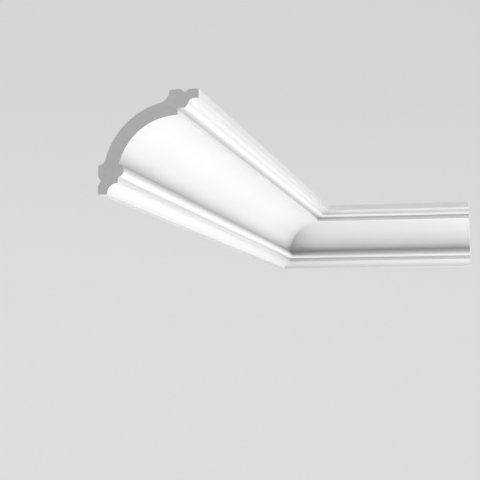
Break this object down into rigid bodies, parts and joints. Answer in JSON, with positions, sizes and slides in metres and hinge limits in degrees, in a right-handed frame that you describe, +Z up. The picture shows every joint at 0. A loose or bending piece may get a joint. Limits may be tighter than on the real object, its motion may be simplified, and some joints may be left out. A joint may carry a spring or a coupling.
{
  "type": "cornice moulding section",
  "caption": "White coved cornice for the angle between wall and ceiling: a long length and a short return, mitred together in an inside corner and cut square at both free ends.",
  "frame": {"origin": "on the wall pad of the long length, halfway along the wall from the corner of the room to the square end, in the flat strip above the V groove", "axes": "+Z up, +X out from the long length's wall into the room, +Y along the long length towards the corner of the room, where the short length turns off along +X"},
  "size_m": [0.335, 1.015, 0.1],
  "materials": {
    "white_primer": "white primer with a low satin sheen on rigid moulding foam, the sawn ends bare and light grey"
  },
  "bodies": {
    "root": {"long_cornice_length": "white_primer", "short_cornice_length": "white_primer"}
  },
  "joints": []
}
